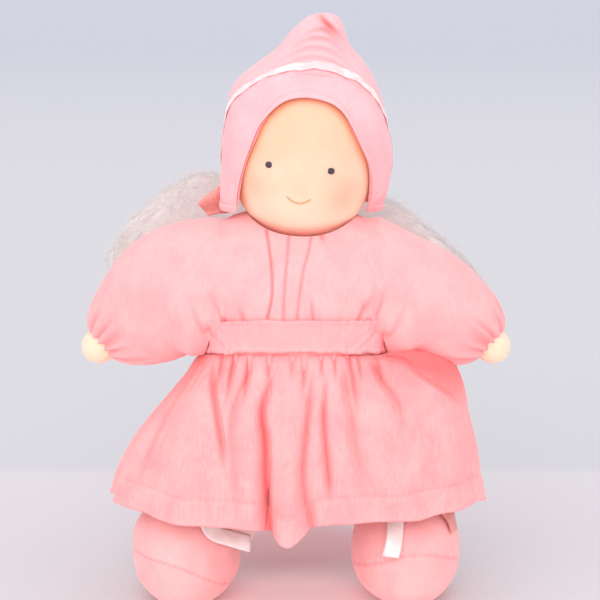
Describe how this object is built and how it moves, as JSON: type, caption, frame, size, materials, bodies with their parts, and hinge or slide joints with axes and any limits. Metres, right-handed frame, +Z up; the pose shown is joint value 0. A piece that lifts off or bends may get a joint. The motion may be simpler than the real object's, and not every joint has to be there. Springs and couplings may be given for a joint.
{
  "type": "waldorf doll",
  "caption": "Soft cloth doll with a pointed hood, puffed arms, gathered skirt, wool wings and round booties, standing on its own feet.",
  "frame": {"origin": "centre of the doll's outer box at floor level, under the middle of the body", "axes": "+Z up, -Y the way the doll faces, +X the doll's own left"},
  "size_m": [0.2586, 0.1304, 0.3593],
  "materials": {
    "velour": "matte",
    "skin": "matte",
    "wool": "matte",
    "satin": "satin",
    "thread": "matte",
    "eye_floss": "satin",
    "mouth_floss": "satin"
  },
  "bodies": {
    "torso": {"bodice": "velour", "drawers": "velour", "torso_stuffing": "wool", "waistband": "velour", "skirt": "velour", "wing_left": "wool", "wing_right": "wool", "wing_tie": "thread"},
    "head": {"head_core": "wool", "eye_line_tie": "thread", "head_skin": "skin", "neck_tie": "thread", "eye_left": "eye_floss", "eye_right": "eye_floss", "mouth": "mouth_floss", "hood": "velour", "hood_stuffing": "wool", "hood_ribbon": "satin"},
    "arm_left": {"sleeve_left": "velour", "arm_stuffing_left": "wool", "hand_skin_left": "skin", "hand_stuffing_left": "wool"},
    "arm_right": {"sleeve_right": "velour", "arm_stuffing_right": "wool", "hand_skin_right": "skin", "hand_stuffing_right": "wool"},
    "leg_left": {"leg_cover_left": "velour", "leg_stuffing_left": "wool", "bootie_left": "velour", "foot_stuffing_left": "wool", "ankle_ribbon_left": "satin"},
    "leg_right": {"leg_cover_right": "velour", "leg_stuffing_right": "wool", "bootie_right": "velour", "foot_stuffing_right": "wool", "ankle_ribbon_right": "satin"}
  },
  "joints": [
    {"name": "head_turn", "type": "hinge", "parent": "torso", "child": "head", "pos_m": [0, 0.008, 0.222], "axis": [0.0958, 0, 0.9954], "range_deg": [-40, 40]},
    {"name": "shoulder_left", "type": "hinge", "parent": "torso", "child": "arm_left", "pos_m": [0.05, 0, 0.203], "axis": [0, -1, 0], "range_deg": [-10, 30], "deforming": ["sleeve_left"]},
    {"name": "shoulder_right", "type": "hinge", "parent": "torso", "child": "arm_right", "pos_m": [-0.05, 0, 0.203], "axis": [0, 1, 0], "range_deg": [-10, 30], "deforming": ["sleeve_right"]},
    {"name": "hip_left", "type": "hinge", "parent": "torso", "child": "leg_left", "pos_m": [0.027, -0.02, 0.116], "axis": [-1, 0, 0], "range_deg": [0, 80], "deforming": ["skirt"]},
    {"name": "hip_right", "type": "hinge", "parent": "torso", "child": "leg_right", "pos_m": [-0.027, -0.02, 0.116], "axis": [-1, 0, 0], "range_deg": [0, 80], "deforming": ["skirt"]}
  ]
}
